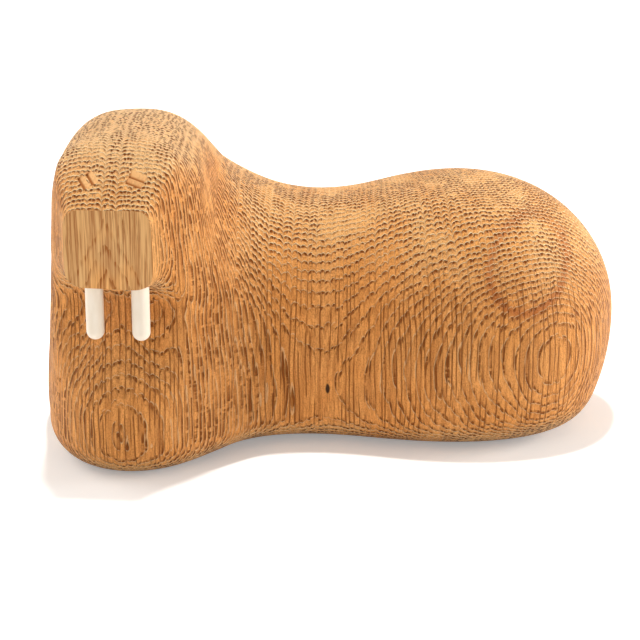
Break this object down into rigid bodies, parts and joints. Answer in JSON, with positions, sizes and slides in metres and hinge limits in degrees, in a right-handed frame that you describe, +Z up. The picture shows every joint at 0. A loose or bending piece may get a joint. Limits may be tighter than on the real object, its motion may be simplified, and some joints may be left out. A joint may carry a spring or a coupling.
{
  "type": "walrus figurine",
  "caption": "Carved oak walrus figurine with a planed flat muzzle, chiselled eyes and cream peg tusks. An ornament that rests on its flat underside.",
  "frame": {"origin": "under the middle of the figure, on the surface that it stands on", "axes": "+Z up, +X along the body from the head to the rump, -Y the way the face looks"},
  "size_m": [0.2004, 0.1212, 0.1191],
  "materials": {
    "oak": "matte",
    "tusk": "satin"
  },
  "bodies": {
    "root": {"oak_body": "oak", "tusk_left": "tusk", "tusk_right": "tusk"}
  },
  "joints": []
}
